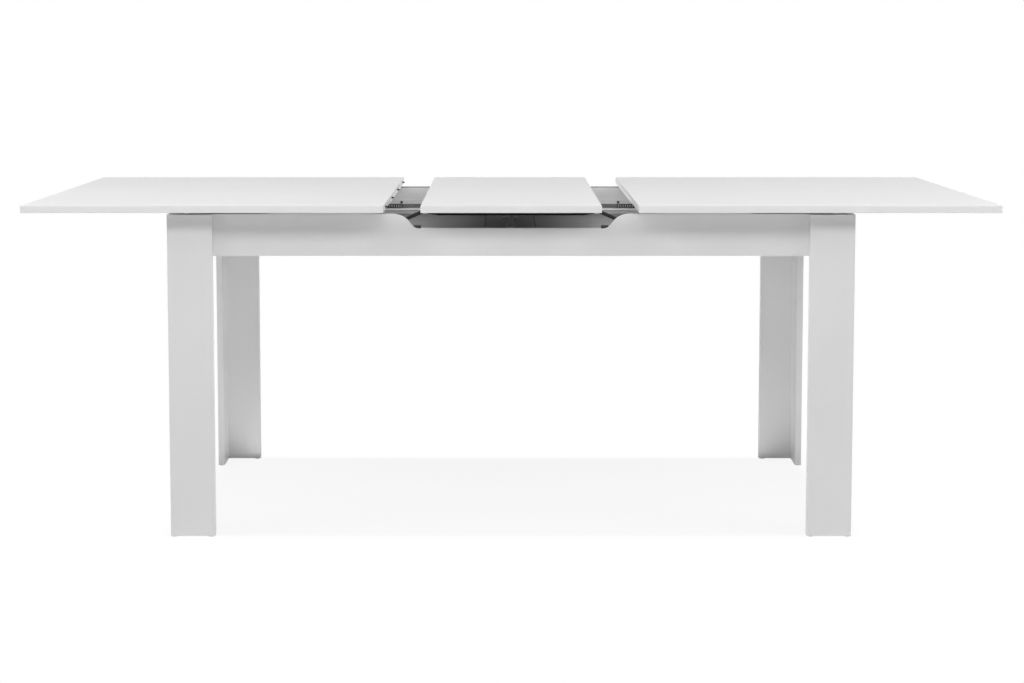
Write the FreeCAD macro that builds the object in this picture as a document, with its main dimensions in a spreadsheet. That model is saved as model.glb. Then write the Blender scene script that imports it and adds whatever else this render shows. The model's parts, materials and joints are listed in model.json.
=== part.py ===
"""Extending dining table: two sliding top halves on a box frame, with a leaf that rises between them.

X runs along the table, Y from front to back and Z up. The origin is on the floor under the centre.
The halves stand drawn apart and the leaf is raised, with an open gap at each end of it.
"""
import FreeCAD
import Part
import Sketcher
import math
import os
from types import SimpleNamespace

SIZES = {
    # Boards of the top
    "table_height": 750.0,
    "half_length": 800.0,
    "top_depth": 900.0,
    "leaf_length": 400.0,
    "top_thickness": 16.0,
    "top_edge_chamfer": 0.8,
    "rest_gap": 82.0,
    # Frame of aprons and legs
    "frame_length": 1530.0,
    "frame_depth": 830.0,
    "under_top_gap": 7.0,
    "apron_height": 93.5,
    "apron_thickness": 16.0,
    "leg_width": 100.0,
    "leg_thickness": 16.0,
    "leg_edge_chamfer": 0.8,
    "glide_height": 1.5,
    "glide_diameter": 14.0,
    "glide_inset": 10.0,
    # Scoop in the front apron and notch in the rear one, which take the lowered leaf
    "scoop_clearance": 5.0,
    "scoop_depth": 31.8,
    "scoop_crest_radius": 56.0,
    "scoop_heel_radius": 20.0,
    "leaf_rest_gap": 0.3,
    "bumper_gap": 1.5,
    "bumper_length": 16.0,
    "bumper_height": 6.0,
    # Alignment pins in the meeting edges
    "pin_diameter": 6.0,
    "pin_reach": 6.0,
    "pin_seat": 20.0,
    "pin_clearance": 0.25,
    "pin_edge_distance": 75.0,
    # Slide rails, carriages and runners
    "slide_clearance": 0.4,
    "rail_below_scoop": 0.2,
    "rail_height": 27.0,
    "rail_gauge": 2.0,
    "rail_lip_height": 5.0,
    "rail_end_gap": 1.0,
    "carriage_width": 19.0,
    "carriage_height": 13.6,
    "carriage_gauge": 2.0,
    "carriage_length": 370.0,
    "carriage_end_gap": 3.0,
    "runner_height": 22.0,
    "runner_end_gap": 8.0,
    "runner_middle_gap": 58.0,
    "hanger_gauge": 2.5,
    "hanger_flange": 25.0,
    "hanger_lift": 2.0,
    "hanger_leaf_gap": 58.0,
    # Leaf lift: cross rail, columns and carrier straps
    "cross_rail_width": 120.0,
    "cross_rail_thickness": 16.0,
    "cross_rail_drop": 4.0,
    "tray_half_length": 340.0,
    "tray_thickness": 6.0,
    "tray_drop": 4.0,
    "bracket_gauge": 2.0,
    "bracket_leg": 25.0,
    "bracket_fall": 14.0,
    "bracket_width": 30.0,
    "bracket_inset": 10.0,
    "column_spread": 400.0,
    "column_bore": 14.6,
    "column_wall": 2.7,
    "column_flange_diameter": 40.0,
    "column_flange_thickness": 3.0,
    "column_top_gap": 1.0,
    "rod_clearance": 0.3,
    "rod_floor_gap": 3.0,
    "strap_gauge": 7.0,
    "strap_width": 25.0,
    "strap_rail_gap": 4.0,
    "strap_run": 45.0,
    "strap_fall": 20.0,
    "strap_foot": 14.0,
    "strap_end_inset": 6.0,
    "strap_screw_inset": 40.0,
    # Joints of the frame
    "block_leg": 45.0,
    "block_tip": 10.0,
    "block_rail_gap": 2.0,
    "bolt_diameter": 6.0,
    "bolt_clearance": 0.3,
    "bolt_head_diameter": 12.0,
    "bolt_head_height": 4.0,
    "bolt_bite": 10.0,
    "bolt_edge": 14.0,
    "bolt_low_rise": 18.0,
    "bolt_high_fall": 13.0,
    # Screw heads
    "screw_head_diameter": 7.0,
    "screw_head_height": 1.6,
    "screw_end_inset": 20.0,
    "rail_screw_fall": 6.0,
    "rail_screw_pitch": 285.0,
    # Extra length of a cut past the face that it leaves
    "cut_overrun": 1.0,
}
PIN_COUNT = 4
RAIL_SCREW_COUNT = 5
HANGER_SCREW_COUNT = 3
STRAP_SCREW_COUNT = 3
ROUND_SIDES = 12
HEX_SIDES = 6

doc = FreeCAD.newDocument("ExtendingTable")
sheet = doc.addObject("Spreadsheet::Sheet", "Sizes")
for row, (name, length) in enumerate(SIZES.items(), start=1):
    sheet.set(f"A{row}", name)
    sheet.set(f"B{row}", str(length))
    sheet.setAlias(f"B{row}", name)
doc.recompute()


class Size:
    """A length that knows its value and the sheet formula that gives it."""

    def __init__(self, value, text):
        self.value = value
        self.text = text

    @staticmethod
    def of(other):
        return other if isinstance(other, Size) else Size(float(other), str(other))

    def __add__(self, other):
        other = Size.of(other)
        return Size(self.value + other.value, f"({self.text} + {other.text})")

    def __radd__(self, other):
        return Size.of(other) + self

    def __sub__(self, other):
        other = Size.of(other)
        return Size(self.value - other.value, f"({self.text} - {other.text})")

    def __rsub__(self, other):
        return Size.of(other) - self

    def __mul__(self, other):
        other = Size.of(other)
        return Size(self.value * other.value, f"({self.text} * {other.text})")

    __rmul__ = __mul__

    def __truediv__(self, other):
        other = Size.of(other)
        return Size(self.value / other.value, f"({self.text} / {other.text})")

    def __neg__(self):
        return Size(-self.value, f"(-1 * {self.text})")

    def root(self):
        return Size(math.sqrt(self.value), f"sqrt({self.text})")


d = SimpleNamespace(**{name: Size(value, f"Sizes.{name}") for name, value in SIZES.items()})
parts = {}


def number(length):
    return length.value if isinstance(length, Size) else float(length)


def bind(thing, path, length):
    if isinstance(length, Size):
        thing.setExpression(path, length.text)


def place(thing, x, y, z, rotation=None):
    thing.Placement = FreeCAD.Placement(FreeCAD.Vector(), rotation or FreeCAD.Rotation())
    for axis, length in zip("xyz", (x, y, z)):
        bind(thing, f"Placement.Base.{axis}", length)


def turned(degrees):
    """Rotation about the vertical."""
    return FreeCAD.Rotation(FreeCAD.Vector(0, 0, 1), degrees)


# Small set of modelling helpers

def new_body(label):
    body = doc.addObject("PartDesign::Body", label)
    body.Label = label
    parts[label] = body
    return body


def new_sketch(body, role, offset=None):
    """Sketch on one of the body's own origin planes, moved along the plane's normal."""
    sketch = body.newObject("Sketcher::SketchObject", "Sketch")
    plane = next(item for item in body.Origin.OriginFeatures if item.Role == role)
    sketch.AttachmentSupport = [(plane, "")]
    sketch.MapMode = "FlatFace"
    bind(sketch, "AttachmentOffset.Base.z", offset)
    return sketch


def constrain(sketch, length, kind, *where):
    index = sketch.addConstraint(Sketcher.Constraint(kind, *where, number(length)))
    bind(sketch, f"Constraints[{index}]", length)


def pin_point(sketch, geometry, end, x, y):
    """Fix a point by its two distances from the sketch's origin; zero means on the axis."""
    for length, kind, axis in ((x, "DistanceX", -2), (y, "DistanceY", -1)):
        if isinstance(length, Size):
            constrain(sketch, length, kind, -1, 1, geometry, end)
        else:
            sketch.addConstraint(Sketcher.Constraint("PointOnObject", geometry, end, axis))


def arc_between(start, finish, radius, left_hand):
    """Arc of less than a half circle; left_hand arcs turn counterclockwise from start to finish."""
    chord = finish - start
    reach = math.sqrt(radius ** 2 - chord.Length ** 2 / 4)
    side = FreeCAD.Vector(-chord.y, chord.x, 0).normalize()
    centre = start + chord / 2 + side * (reach if left_hand else -reach)
    first, last = (start, finish) if left_hand else (finish, start)
    angles = [math.atan2(point.y - centre.y, point.x - centre.x) for point in (first, last)]
    return Part.ArcOfCircle(Part.Circle(centre, FreeCAD.Vector(0, 0, 1), radius), *angles)


def outline(sketch, corners):
    """Closed outline; a corner is (x, y), or (x, y, radius, left_hand) where an arc leads to it."""
    points = [FreeCAD.Vector(number(corner[0]), number(corner[1]), 0) for corner in corners]
    ends = []
    for index, corner in enumerate(corners):
        start = points[index - 1]
        if len(corner) == 2:
            geometry = sketch.addGeometry(Part.LineSegment(start, points[index]))
            ends.append((geometry, 1, 2))
        else:
            radius, left_hand = corner[2:]
            geometry = sketch.addGeometry(arc_between(start, points[index], number(radius), left_hand))
            ends.append((geometry, 1, 2) if left_hand else (geometry, 2, 1))
    for index, (geometry, _, last) in enumerate(ends):
        following, first, _ = ends[(index + 1) % len(ends)]
        sketch.addConstraint(Sketcher.Constraint("Coincident", geometry, last, following, first))
    for (geometry, _, last), corner in zip(ends, corners):
        pin_point(sketch, geometry, last, corner[0], corner[1])
        if len(corner) == 4:
            constrain(sketch, corner[2], "Radius", geometry)


def circles(sketch, centres, diameter):
    for x, y in centres:
        middle = FreeCAD.Vector(number(x), number(y), 0)
        circle = Part.Circle(middle, FreeCAD.Vector(0, 0, 1), number(diameter) / 2)
        geometry = sketch.addGeometry(circle)
        pin_point(sketch, geometry, 3, x, y)
        constrain(sketch, diameter, "Diameter", geometry)


def rectangle(width, height):
    return [(0, 0), (width, 0), (width, height), (0, height)]


def pad(body, role, corners, length, reverse=False):
    sketch = new_sketch(body, role)
    outline(sketch, corners)
    feature = body.newObject("PartDesign::Pad", "Pad")
    feature.Profile = sketch
    feature.Reversed = reverse
    bind(feature, "Length", length)


def drill(body, role, centres, diameter, depth, offset=None, reverse=False):
    """Round holes cut from a plane against its normal, or along it when reversed."""
    doc.recompute()
    before = body.Shape.Volume
    sketch = new_sketch(body, role, offset)
    circles(sketch, centres, diameter)
    feature = body.newObject("PartDesign::Pocket", "Holes")
    feature.Profile = sketch
    feature.Reversed = reverse
    bind(feature, "Length", depth)
    doc.recompute()
    if body.Shape.Volume >= before:
        raise RuntimeError(f"{body.Label}: the holes cut nothing")


def ease_edges(body, kind, size_name, length, choose):
    """Fillet or chamfer the edges of the body that the choose test picks."""
    doc.recompute()
    tip = body.Tip
    names = [f"Edge{index}" for index, edge in enumerate(tip.Shape.Edges, start=1) if choose(edge)]
    feature = body.newObject(f"PartDesign::{kind}", kind)
    feature.Base = (tip, names)
    bind(feature, size_name, length)


def box(label, size, corner):
    solid = doc.addObject("Part::Box", label)
    for side, length in zip(("Length", "Width", "Height"), size):
        bind(solid, side, length)
    place(solid, *corner)
    return solid


def cylinder(label, diameter, height, foot, rotation=None):
    solid = doc.addObject("Part::Cylinder", label)
    bind(solid, "Radius", diameter / 2)
    bind(solid, "Height", height)
    place(solid, *foot, rotation)
    return solid


def prism(label, sides, diameter, height, foot, rotation=None):
    solid = doc.addObject("Part::Prism", label)
    solid.Polygon = sides
    bind(solid, "Circumradius", diameter / 2)
    bind(solid, "Height", height)
    place(solid, *foot, rotation)
    return solid


def fuse(label, solids):
    joined = doc.addObject("Part::MultiFuse", label)
    joined.Shapes = solids
    return joined


def keep(label, solid):
    solid.Label = label
    parts[label] = solid


def group(label, solids):
    """Several like solids kept as one piece of the list."""
    compound = doc.addObject("Part::Compound", label)
    compound.Links = solids
    keep(label, compound)


def evenly(first, last, count):
    return [first + (last - first) * index / (count - 1) for index in range(count)]


ALONG_X = FreeCAD.Rotation(FreeCAD.Vector(0, 1, 0), 90)
ALONG_MINUS_X = FreeCAD.Rotation(FreeCAD.Vector(0, 1, 0), -90)
ALONG_Y = FreeCAD.Rotation(FreeCAD.Vector(1, 0, 0), -90)
ALONG_MINUS_Y = FreeCAD.Rotation(FreeCAD.Vector(1, 0, 0), 90)

# Places that the pieces share

top_under = d.table_height - d.top_thickness
apron_top = top_under - d.under_top_gap
apron_under = apron_top - d.apron_height
leg_outer_x = d.frame_length / 2
leg_outer_y = d.frame_depth / 2
apron_outer_x = leg_outer_x - d.leg_thickness
apron_outer_y = leg_outer_y - d.leg_thickness
apron_inner_x = apron_outer_x - d.apron_thickness
apron_inner_y = apron_outer_y - d.apron_thickness
leaf_end_x = d.leaf_length / 2
half_inner_x = leaf_end_x + d.rest_gap
top_front_y = d.top_depth / 2
scoop_floor = apron_top - d.scoop_depth
stored_leaf_under = scoop_floor + d.leaf_rest_gap
leaf_drop = top_under - stored_leaf_under

rail_under = scoop_floor - d.rail_below_scoop - d.rail_height
rail_depth = 2 * d.rail_gauge + d.carriage_width + 2 * d.slide_clearance
rail_inner_y = apron_inner_y - rail_depth
carriage_under = rail_under + d.rail_gauge + d.slide_clearance
carriage_outer_y = apron_inner_y - d.rail_gauge - d.slide_clearance
runner_width = d.carriage_width - 2 * d.carriage_gauge - 2 * d.slide_clearance
runner_under = carriage_under + d.carriage_gauge + d.slide_clearance
runner_outer_y = carriage_outer_y - d.carriage_gauge - d.slide_clearance
runner_outer_x = apron_inner_x - d.runner_end_gap
runner_length = runner_outer_x - half_inner_x - d.runner_middle_gap
hanger_length = runner_outer_x - half_inner_x - leaf_end_x - d.hanger_leaf_gap
hanger_under = carriage_under + d.carriage_height + d.hanger_lift
hanger_outer_y = runner_outer_y - runner_width

bolt_bore = d.bolt_diameter + 2 * d.bolt_clearance
bolt_rises = (d.bolt_low_rise, d.apron_height - d.bolt_high_fall)
bolt_from_corner = d.leg_width - d.bolt_edge
pin_bore = d.pin_diameter + 2 * d.pin_clearance
pin_places = evenly(d.pin_edge_distance, d.top_depth - d.pin_edge_distance, PIN_COUNT)
pin_height = d.top_thickness / 2


# Aprons

def notched_outline(length):
    """Long apron seen from its outside, with a square notch in its top edge."""
    middle = length / 2
    mouth_half = leaf_end_x + d.scoop_clearance
    floor_half = leaf_end_x
    floor_height = d.apron_height - d.scoop_depth
    heel_height = floor_height + d.scoop_clearance
    return [
        (0, 0),
        (length, 0),
        (length, d.apron_height),
        (middle + mouth_half, d.apron_height),
        (middle + mouth_half, heel_height),
        (middle + floor_half, floor_height, d.scoop_clearance, False),
        (middle - floor_half, floor_height),
        (middle - mouth_half, heel_height, d.scoop_clearance, False),
        (middle - mouth_half, d.apron_height),
        (0, d.apron_height),
    ]


def scooped_outline(length):
    """Long apron seen from its outside, with an S-curve at each end of the scoop in its top edge."""
    middle = length / 2
    floor_half = leaf_end_x + d.scoop_clearance
    floor_height = d.apron_height - d.scoop_depth
    reach = d.scoop_crest_radius + d.scoop_heel_radius
    curve_run = (2 * reach * d.scoop_depth - d.scoop_depth * d.scoop_depth).root()
    crest_share = d.scoop_crest_radius / reach
    mouth_half = floor_half + curve_run
    turn_half = mouth_half - curve_run * crest_share
    turn_height = d.apron_height - d.scoop_depth * crest_share
    return [
        (0, 0),
        (length, 0),
        (length, d.apron_height),
        (middle + mouth_half, d.apron_height),
        (middle + turn_half, turn_height, d.scoop_crest_radius, True),
        (middle + floor_half, floor_height, d.scoop_heel_radius, False),
        (middle - floor_half, floor_height),
        (middle - turn_half, turn_height, d.scoop_heel_radius, False),
        (middle - mouth_half, d.apron_height, d.scoop_crest_radius, True),
        (0, d.apron_height),
    ]


def long_apron(label, turn, shape):
    """Apron along the table; its inner face lies on the sketch plane."""
    length = 2 * apron_outer_x
    body = new_body(label)
    pad(body, "XZ_Plane", shape(length), d.apron_thickness)
    bolt_x = bolt_from_corner - d.leg_thickness
    bolt_centres = [(x, rise) for x in (bolt_x, length - bolt_x) for rise in bolt_rises]
    drill(body, "XZ_Plane", bolt_centres, bolt_bore, d.apron_thickness + d.cut_overrun, reverse=True)
    side = -1 if turn == 0 else 1
    place(body, side * apron_outer_x, side * apron_inner_y, apron_under, turned(turn))


def end_apron(label, turn):
    """Apron across the table, butted between the long ones."""
    width = 2 * apron_inner_y
    body = new_body(label)
    pad(body, "XY_Plane", rectangle(d.apron_thickness, width), d.apron_height)
    bolt_y = bolt_from_corner - d.leg_thickness - d.apron_thickness
    bolt_centres = [(y, rise) for y in (bolt_y, width - bolt_y) for rise in bolt_rises]
    drill(body, "YZ_Plane", bolt_centres, bolt_bore, d.apron_thickness + d.cut_overrun, reverse=True)
    side = -1 if turn == 0 else 1
    place(body, side * apron_outer_x, side * apron_inner_y, apron_under, turned(turn))


long_apron("front_apron", 0, scooped_outline)
long_apron("rear_apron", 180, notched_outline)
end_apron("left_end_apron", 0)
end_apron("right_end_apron", 180)


# Legs: two mitred boards at each corner

CORNERS = (
    ("front_left", -1, -1, 0),
    ("front_right", 1, -1, 90),
    ("rear_right", 1, 1, 180),
    ("rear_left", -1, 1, 270),
)
leg_height = apron_top - d.glide_height


def leg_board(label, corner, along_x):
    """One board of a leg, mitred along the outer corner; along_x is in the corner's own axes."""
    _, side_x, side_y, turn = corner
    mitre = [(0, 0), (d.leg_width, 0), (d.leg_width, d.leg_thickness), (d.leg_thickness, d.leg_thickness)]
    corners = mitre if along_x else [(y, x) for x, y in reversed(mitre)]
    body = new_body(label)
    pad(body, "XY_Plane", corners, leg_height)
    ease_edges(body, "Chamfer", "Size", d.leg_edge_chamfer, lambda edge: is_free_leg_edge(edge, along_x))
    rises = [apron_under + rise - d.glide_height for rise in bolt_rises]
    centres = [(bolt_from_corner, rise) for rise in rises]
    if along_x:
        drill(body, "XZ_Plane", centres, bolt_bore, d.bolt_bite + d.bolt_clearance,
              offset=-d.leg_thickness, reverse=True)
    else:
        drill(body, "YZ_Plane", centres, bolt_bore, d.bolt_bite + d.bolt_clearance, offset=d.leg_thickness)
    place(body, side_x * leg_outer_x, side_y * leg_outer_y, d.glide_height, turned(turn))


def is_free_leg_edge(edge, along_x):
    """The two upright edges of the board's square end."""
    middle = edge.CenterOfMass
    reach = middle.x if along_x else middle.y
    upright = abs(edge.tangentAt(edge.FirstParameter).z) > 0.5
    return upright and math.isclose(reach, d.leg_width.value)


for corner in CORNERS:
    name, _, _, turn = corner
    first, second = ("face", "side") if turn in (0, 180) else ("side", "face")
    leg_board(f"{name}_leg_{first}", corner, along_x=True)
    leg_board(f"{name}_leg_{second}", corner, along_x=False)


def corner_block(label, corner):
    """Glued block in the inner corner of the aprons, under the slide rail."""
    _, side_x, side_y, turn = corner
    body = new_body(label)
    corners = [
        (0, 0),
        (d.block_leg, 0),
        (d.block_leg, d.block_tip),
        (d.block_tip, d.block_leg),
        (0, d.block_leg),
    ]
    pad(body, "XY_Plane", corners, rail_under - d.block_rail_gap - apron_under)
    place(body, side_x * apron_inner_x, side_y * apron_inner_y, apron_under, turned(turn))


for corner in CORNERS:
    corner_block(f"{corner[0]}_corner_block", corner)


def foot_glides():
    """Three discs under each leg: one at the mitre and one near the end of each board."""
    near = d.leg_thickness / 2
    far = d.leg_width - d.glide_inset
    glides = []
    for _, side_x, side_y, _ in CORNERS:
        for from_x, from_y in ((near, near), (far, near), (near, far)):
            foot = (side_x * (leg_outer_x - from_x), side_y * (leg_outer_y - from_y), 0)
            glides.append(prism("Glide", ROUND_SIDES, d.glide_diameter, d.glide_height, foot))
    group("foot_glides", glides)


def bolt(x, y, z, rotation):
    """Hexagon bolt with its head's seat at x, y, z and its shank along the rotated Z."""
    reach = d.apron_thickness + d.bolt_bite
    shank = prism("Shank", HEX_SIDES, d.bolt_diameter, reach, (x, y, z), rotation)
    inward = rotation.multVec(FreeCAD.Vector(0, 0, -1))
    foot = [base + round(step) * d.bolt_head_height for base, step in zip((x, y, z), inward)]
    head = prism("Head", HEX_SIDES, d.bolt_head_diameter, d.bolt_head_height, foot, rotation)
    return fuse("Bolt", [shank, head])


def leg_bolts():
    bolts = []
    for _, side_x, side_y, _ in CORNERS:
        for rise in bolt_rises:
            z = apron_under + rise
            face_x = side_x * (leg_outer_x - bolt_from_corner)
            outward_y = ALONG_Y if side_y > 0 else ALONG_MINUS_Y
            bolts.append(bolt(face_x, side_y * apron_inner_y, z, outward_y))
            side_board_y = side_y * (leg_outer_y - bolt_from_corner)
            outward_x = ALONG_X if side_x > 0 else ALONG_MINUS_X
            bolts.append(bolt(side_x * apron_inner_x, side_board_y, z, outward_x))
    group("leg_bolts", bolts)


foot_glides()
leg_bolts()


# Slide rails on the long aprons

def slide_rail(label, turn):
    """J-section rail: web on the apron, floor under the carriage, lip in front of it."""
    section = [
        (0, 0),
        (rail_depth, 0),
        (rail_depth, d.rail_lip_height),
        (rail_depth - d.rail_gauge, d.rail_lip_height),
        (rail_depth - d.rail_gauge, d.rail_gauge),
        (d.rail_gauge, d.rail_gauge),
        (d.rail_gauge, d.rail_height),
        (0, d.rail_height),
    ]
    length = 2 * (apron_inner_x - d.rail_end_gap)
    body = new_body(label)
    pad(body, "YZ_Plane", section, length)
    side = -1 if turn == 0 else 1
    place(body, side * length / 2, side * apron_inner_y, rail_under, turned(turn))


def screw_head(x, y, z, rotation):
    """Head of a screw that is driven along the rotated Z, seated at x, y, z."""
    back = rotation.multVec(FreeCAD.Vector(0, 0, -1))
    foot = [base + round(step) * d.screw_head_height for base, step in zip((x, y, z), back)]
    return prism("ScrewHead", ROUND_SIDES, d.screw_head_diameter, d.screw_head_height, foot, rotation)


def rail_screws():
    screws = []
    z = rail_under + d.rail_height - d.rail_screw_fall
    seat = apron_inner_y - d.rail_gauge
    reach = d.rail_screw_pitch * (RAIL_SCREW_COUNT - 1) / 2
    for side, outward in ((-1, ALONG_MINUS_Y), (1, ALONG_Y)):
        for x in evenly(-reach, reach, RAIL_SCREW_COUNT):
            screws.append(screw_head(x, side * seat, z, outward))
    group("rail_screws", screws)


slide_rail("front_rail", 0)
slide_rail("rear_rail", 180)
rail_screws()


# Carriages, runners and hangers of each half

def carriage(label, side_x, side_y):
    """U-section carriage that slides in the rail and holds the runner."""
    section = [
        (0, 0),
        (d.carriage_width, 0),
        (d.carriage_width, d.carriage_height),
        (d.carriage_width - d.carriage_gauge, d.carriage_height),
        (d.carriage_width - d.carriage_gauge, d.carriage_gauge),
        (d.carriage_gauge, d.carriage_gauge),
        (d.carriage_gauge, d.carriage_height),
        (0, d.carriage_height),
    ]
    body = new_body(label)
    pad(body, "YZ_Plane", section, d.carriage_length)
    outer_x = apron_inner_x - d.carriage_end_gap
    low_x = -outer_x if side_x < 0 else outer_x - d.carriage_length
    low_y = -carriage_outer_y if side_y < 0 else carriage_outer_y - d.carriage_width
    place(body, low_x, low_y, carriage_under)


def runner(label, side_x, side_y):
    low_x = -runner_outer_x if side_x < 0 else runner_outer_x - runner_length
    low_y = -runner_outer_y if side_y < 0 else runner_outer_y - runner_width
    solid = box("Runner", (runner_length, runner_width, d.runner_height), (low_x, low_y, runner_under))
    keep(label, solid)


def hanger(label, side_x, side_y):
    """Angle plate that hangs the runner under the half."""
    height = top_under - hanger_under
    section = [
        (0, 0),
        (d.hanger_gauge, 0),
        (d.hanger_gauge, height - d.hanger_gauge),
        (d.hanger_flange, height - d.hanger_gauge),
        (d.hanger_flange, height),
        (0, height),
    ]
    body = new_body(label)
    pad(body, "YZ_Plane", section, hanger_length)
    outer_x = side_x * runner_outer_x
    inner_x = side_x * (runner_outer_x - hanger_length)
    low_x, high_x = (outer_x, inner_x) if side_x < 0 else (inner_x, outer_x)
    if side_y < 0:
        place(body, low_x, -hanger_outer_y, hanger_under)
    else:
        place(body, high_x, hanger_outer_y, hanger_under, turned(180))


hanger_screw_places = evenly(d.screw_end_inset, hanger_length - d.screw_end_inset, HANGER_SCREW_COUNT)
hanger_screw_reach = (d.hanger_gauge + d.hanger_flange) / 2


def hanger_screws(label, side_x):
    screws = []
    z = top_under - d.hanger_gauge
    for side_y in (-1, 1):
        y = side_y * (hanger_outer_y - hanger_screw_reach)
        for place_x in hanger_screw_places:
            screws.append(screw_head(side_x * (runner_outer_x - place_x), y, z, FreeCAD.Rotation()))
    group(label, screws)


for side, side_x in (("left", -1), ("right", 1)):
    for end, side_y in (("front", -1), ("rear", 1)):
        carriage(f"{side}_{end}_carriage", side_x, side_y)
        runner(f"{side}_{end}_runner", side_x, side_y)
        hanger(f"{side}_{end}_hanger", side_x, side_y)
    hanger_screws(f"{side}_hanger_screws", side_x)


# Boards of the top

def every_edge(edge):
    return True


def top_half(label, turn):
    """Half of the top; its inner end, with the pin holes, is the far end of its own X axis."""
    body = new_body(label)
    pad(body, "XY_Plane", rectangle(d.half_length, d.top_depth), d.top_thickness)
    ease_edges(body, "Chamfer", "Size", d.top_edge_chamfer, every_edge)
    pin_centres = [(y, pin_height) for y in pin_places]
    drill(body, "YZ_Plane", pin_centres, pin_bore, d.pin_seat, offset=d.half_length)
    outer_x = half_inner_x + d.half_length
    side = -1 if turn == 0 else 1
    place(body, side * outer_x, side * top_front_y, top_under, turned(turn))


def leaf_panel():
    body = new_body("leaf_panel")
    pad(body, "XY_Plane", rectangle(d.leaf_length, d.top_depth), d.top_thickness)
    ease_edges(body, "Chamfer", "Size", d.top_edge_chamfer, every_edge)
    pin_centres = [(y, pin_height) for y in pin_places]
    drill(body, "YZ_Plane", pin_centres, pin_bore, d.pin_seat, reverse=True)
    place(body, -leaf_end_x, -top_front_y, top_under)


def left_top_pins():
    """Pins pressed to the bottom of the left half's holes, reaching out along X."""
    seat_x = -half_inner_x - d.pin_seat
    z = top_under + pin_height
    reach = d.pin_seat + d.pin_reach
    group("left_top_pins", [
        prism("Pin", ROUND_SIDES, d.pin_diameter, reach, (seat_x, y - top_front_y, z), ALONG_X)
        for y in pin_places
    ])


# Leaf lift

strap_outer_y = rail_inner_y - d.strap_rail_gap
strap_middle_y = strap_outer_y - d.strap_width / 2
strap_under = top_under - d.strap_gauge
strap_bar = d.leaf_length - 2 * d.strap_end_inset


def front_carrier_strap():
    """Flat steel strap under the leaf, bent like a hat, with sloping ends and level feet."""
    slope = (d.strap_run * d.strap_run + d.strap_fall * d.strap_fall).root()
    bend = d.strap_gauge * d.strap_fall / (d.strap_run + slope)
    knee = d.strap_foot + d.strap_run
    far_knee = knee + strap_bar
    width = far_knee + knee
    crown = d.strap_fall + d.strap_gauge
    section = [
        (0, 0),
        (d.strap_foot, 0),
        (knee, d.strap_fall),
        (far_knee, d.strap_fall),
        (far_knee + d.strap_run, 0),
        (width, 0),
        (width, d.strap_gauge),
        (far_knee + d.strap_run + bend, d.strap_gauge),
        (far_knee + bend, crown),
        (knee - bend, crown),
        (d.strap_foot - bend, d.strap_gauge),
        (0, d.strap_gauge),
    ]
    body = new_body("front_carrier_strap")
    pad(body, "XZ_Plane", section, d.strap_width, reverse=True)
    place(body, -width / 2, -strap_outer_y, strap_under - d.strap_fall)


def rear_carrier_strap():
    """Straight strap under the back of the leaf."""
    body = new_body("rear_carrier_strap")
    pad(body, "XY_Plane", rectangle(strap_bar, d.strap_width), d.strap_gauge)
    place(body, -strap_bar / 2, strap_outer_y - d.strap_width, strap_under)


def strap_screws():
    reach = leaf_end_x - d.strap_screw_inset
    group("strap_screws", [
        screw_head(x, side * strap_middle_y, strap_under, FreeCAD.Rotation())
        for side in (-1, 1)
        for x in evenly(-reach, reach, STRAP_SCREW_COUNT)
    ])


def cross_rail():
    """Flat rail across the frame that carries the lift columns."""
    width = 2 * apron_inner_y
    body = new_body("cross_rail")
    pad(body, "XY_Plane", rectangle(d.cross_rail_width, width), d.cross_rail_thickness)
    centres = [(d.cross_rail_width / 2, apron_inner_y + side * d.column_spread / 2) for side in (-1, 1)]
    drill(body, "XY_Plane", centres, d.column_bore, d.cross_rail_thickness + d.cut_overrun, reverse=True)
    place(body, -d.cross_rail_width / 2, -apron_inner_y, cross_rail_under)


cross_rail_top = rail_under - d.cross_rail_drop
cross_rail_under = cross_rail_top - d.cross_rail_thickness


def tray_panel(label, side_x):
    """Panel beside the cross rail that closes the space under the leaf."""
    inner_x = d.cross_rail_width / 2
    body = new_body(label)
    pad(body, "XY_Plane", rectangle(d.tray_half_length - inner_x, 2 * apron_inner_y), d.tray_thickness)
    low_x = -d.tray_half_length if side_x < 0 else inner_x
    place(body, low_x, -apron_inner_y, cross_rail_top - d.tray_drop - d.tray_thickness)


def cross_rail_bracket(label, side_x, side_y):
    """Angle under one corner of the cross rail, fixed to the apron."""
    section = [
        (0, 0),
        (d.bracket_gauge, 0),
        (d.bracket_gauge, d.bracket_fall - d.bracket_gauge),
        (d.bracket_leg, d.bracket_fall - d.bracket_gauge),
        (d.bracket_leg, d.bracket_fall),
        (0, d.bracket_fall),
    ]
    body = doc.addObject("PartDesign::Body", label)
    pad(body, "YZ_Plane", section, d.bracket_width)
    outer = d.cross_rail_width / 2 - d.bracket_inset
    low_x = -outer if side_x < 0 else outer - d.bracket_width
    base_z = cross_rail_under - d.bracket_fall
    if side_y < 0:
        place(body, low_x, -apron_inner_y, base_z)
    else:
        place(body, low_x + d.bracket_width, apron_inner_y, base_z, turned(180))
    return body


def lift_columns():
    """Guide tubes on the cross rail."""
    height = stored_leaf_under - d.column_flange_thickness - d.column_top_gap - cross_rail_top
    columns = []
    for side in (-1, 1):
        foot = (0, side * d.column_spread / 2, cross_rail_top)
        tube = cylinder("Tube", d.column_bore + 2 * d.column_wall, height, foot)
        flange = cylinder("Flange", d.column_flange_diameter, d.column_flange_thickness, foot)
        bore = cylinder("Bore", d.column_bore, height, foot)
        column = doc.addObject("Part::Cut", "Column")
        column.Base = fuse("Outside", [tube, flange])
        column.Tool = bore
        columns.append(column)
    group("lift_columns", columns)


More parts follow.
